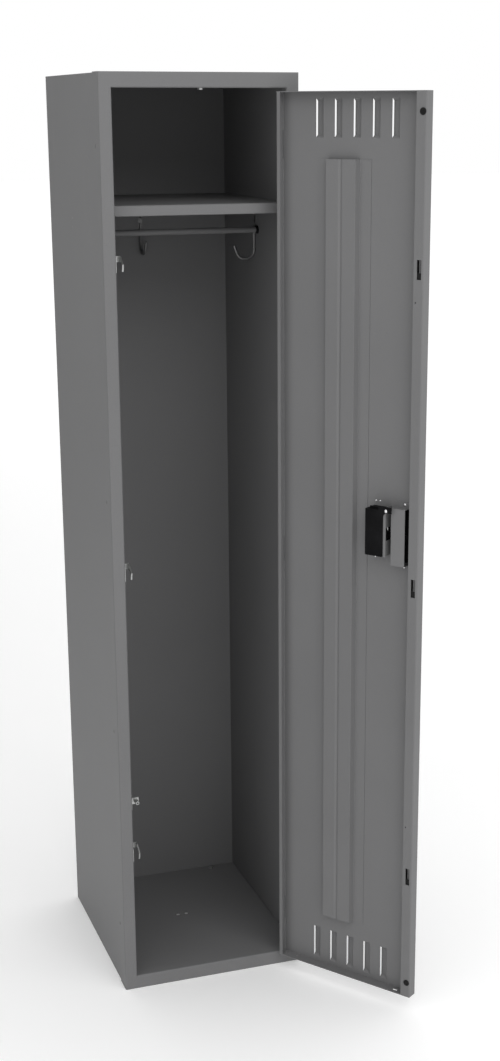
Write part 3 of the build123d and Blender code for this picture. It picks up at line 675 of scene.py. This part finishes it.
def hang_flag():
    """A grey cloth out of view that takes the glare off the cabinet's left side."""
    mesh = bmesh.new()
    bmesh.ops.create_grid(
        mesh, x_segments=1, y_segments=1, size=0.5,
        matrix=Matrix.Rotation(math.radians(90), 4, "Y"))
    low, high = FLAG_CORNERS
    bmesh.ops.scale(mesh, vec=(1, high[1] - low[1], high[2] - low[2]), verts=mesh.verts)
    bmesh.ops.translate(mesh, vec=(Vector(low) + Vector(high)) / 2, verts=mesh.verts)
    data = bpy.data.meshes.new("glare_flag")
    mesh.to_mesh(data)
    mesh.free()
    data.materials.append(finish_named("flag_cloth"))
    flag = bpy.data.objects.new("glare_flag", data)
    flag.visible_camera = False
    bpy.context.scene.collection.objects.link(flag)


def soft_light(name, place, aim, width, height, power):
    lamp = bpy.data.lights.new(name, "AREA")
    lamp.shape, lamp.size, lamp.size_y = "RECTANGLE", width, height
    lamp.energy = power
    holder = bpy.data.objects.new(name, lamp)
    holder.location = place
    holder.rotation_euler = (Vector(aim) - Vector(place)).to_track_quat("-Z", "Y").to_euler()
    bpy.context.scene.collection.objects.link(holder)


def light_studio():
    world = bpy.data.worlds.new("white_studio")
    world.use_nodes = True
    background = world.node_tree.nodes["Background"]
    background.inputs["Color"].default_value = (1, 1, 1, 1)
    background.inputs["Strength"].default_value = sizes().sky
    bpy.context.scene.world = world
    bpy.context.scene.view_settings.view_transform = "Standard"
    soft_light("front_softbox", KEY_PLACE, KEY_AIM, *KEY_SIZE, sizes().key)


def place_camera():
    camera = bpy.data.cameras.new("catalogue_camera")
    camera.sensor_width = CAMERA_SENSOR
    camera.lens = CAMERA_LENS
    camera.shift_x, camera.shift_y = CAMERA_SHIFT
    camera.clip_start, camera.clip_end = 0.1, 200
    holder = bpy.data.objects.new("catalogue_camera", camera)
    turn = (Matrix.Rotation(math.radians(CAMERA_YAW), 4, "Z")
            @ Matrix.Rotation(math.radians(90 + CAMERA_PITCH), 4, "X")
            @ Matrix.Rotation(math.radians(CAMERA_ROLL), 4, "Z"))
    holder.matrix_world = Matrix.Translation(CAMERA_PLACE) @ turn
    bpy.context.scene.collection.objects.link(holder)
    bpy.context.scene.camera = holder


# ------------------------------------------------------------------ panel ---

OPERATORS = (
    LOCKER_OT_paint_sheet_steel, LOCKER_OT_plate_hardware, LOCKER_OT_mould_plastics,
    LOCKER_OT_turn_bumpers, LOCKER_OT_fit_bolts, LOCKER_OT_fit_rod_collars,
    LOCKER_OT_build_stage,
)


class LOCKER_PT_finish(Panel):
    """Lists the locker's finishing steps and their settings"""

    bl_idname = "LOCKER_PT_finish"
    bl_label = "School locker"
    bl_space_type = "VIEW_3D"
    bl_region_type = "UI"
    bl_category = "Locker"

    def draw(self, context):
        for group in (colours(), sizes()):
            column = self.layout.column(align=True)
            for name in group.__annotations__:
                column.prop(group, name)
        for operator in OPERATORS:
            self.layout.operator(operator.bl_idname)


CLASSES = (LockerColours, LockerSizes, *OPERATORS, LOCKER_PT_finish)


def register():
    for each in CLASSES:
        bpy.utils.register_class(each)
    bpy.types.Scene.locker_colours = PointerProperty(type=LockerColours)
    bpy.types.Scene.locker_sizes = PointerProperty(type=LockerSizes)


def unregister():
    del bpy.types.Scene.locker_sizes
    del bpy.types.Scene.locker_colours
    for each in reversed(CLASSES):
        bpy.utils.unregister_class(each)


def main():
    register()
    for operator in OPERATORS:
        group, name = operator.bl_idname.split(".")
        getattr(getattr(bpy.ops, group), name)()


if __name__ == "__main__":
    main()
